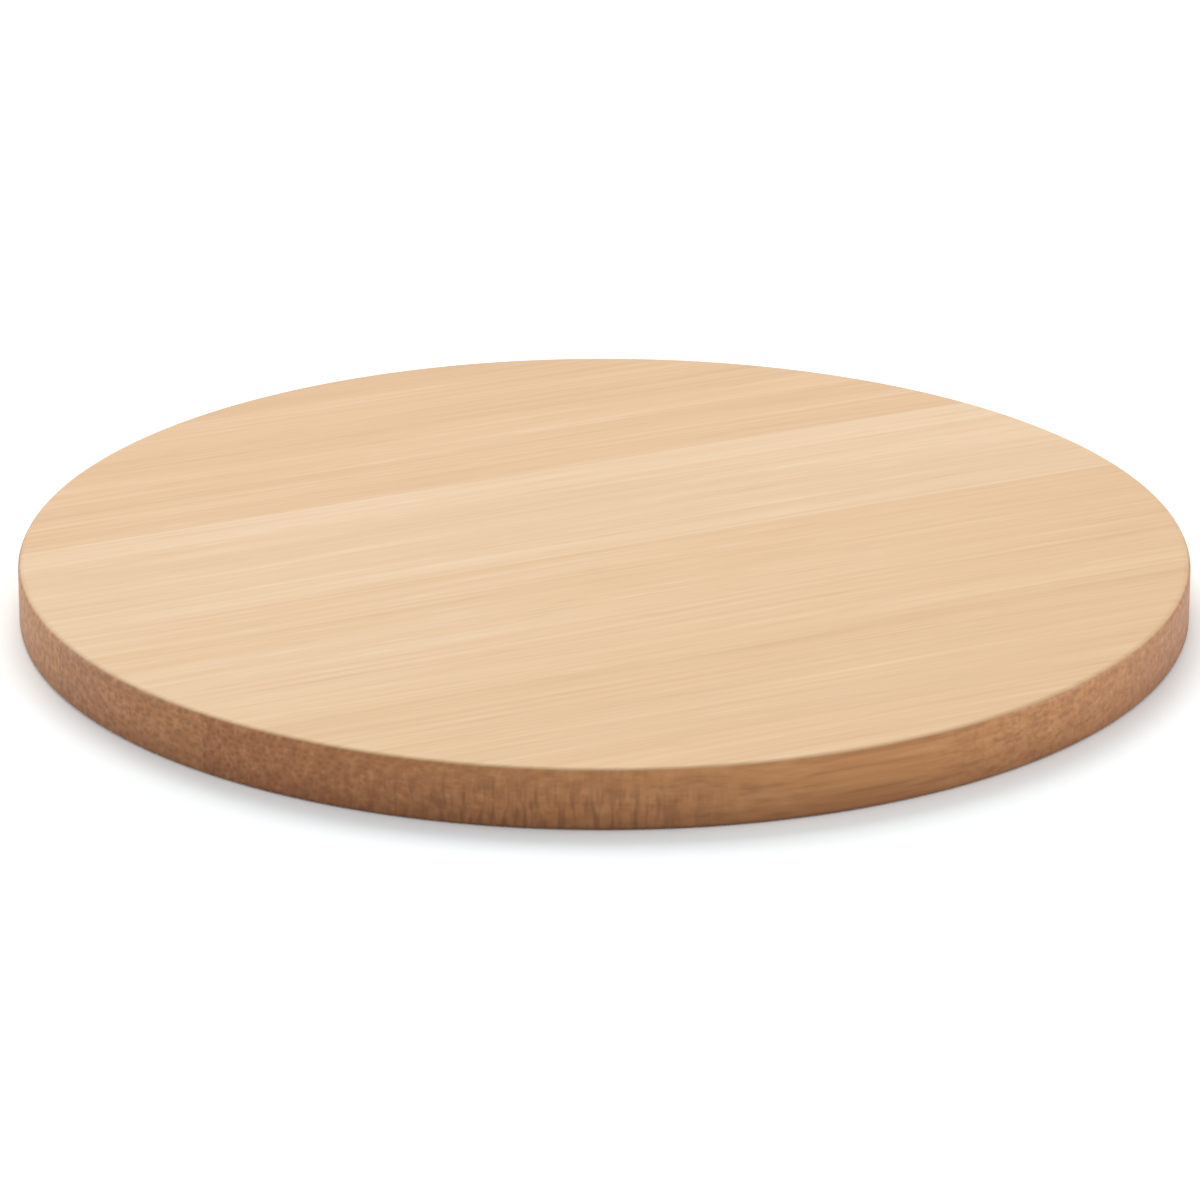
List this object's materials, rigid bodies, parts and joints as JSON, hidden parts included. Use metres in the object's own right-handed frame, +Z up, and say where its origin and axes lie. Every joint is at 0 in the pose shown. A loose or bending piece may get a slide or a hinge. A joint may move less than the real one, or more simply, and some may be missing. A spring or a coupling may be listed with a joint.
{
  "type": "round serving board",
  "caption": "Small round bamboo serving board, coaster size: flat strips glued edge to edge, routed to a disc with eased edges, for standing a cup or a snack on.",
  "frame": {"origin": "centre of the underside, on the surface that the board lies on", "axes": "+Z up out of the serving face, +X along the grain of the strips, +Y across the grain"},
  "size_m": [0.095, 0.095, 0.005],
  "materials": {
    "bamboo_warm": "sanded bamboo with a satin oil finish, warmer strips",
    "bamboo_honey": "sanded bamboo with a satin oil finish, middle strips",
    "bamboo_pale": "sanded bamboo with a satin oil finish, palest strip",
    "glue": "cured clear wood glue, a hair line in the surface"
  },
  "bodies": {
    "root": {"bamboo_strip_1": "bamboo_warm", "bamboo_strip_2": "bamboo_warm", "bamboo_strip_3": "bamboo_honey", "bamboo_strip_4": "bamboo_pale", "bamboo_strip_5": "bamboo_honey", "bamboo_strip_6": "bamboo_honey", "glue_line_1": "glue", "glue_line_2": "glue", "glue_line_3": "glue", "glue_line_4": "glue", "glue_line_5": "glue"}
  },
  "joints": []
}
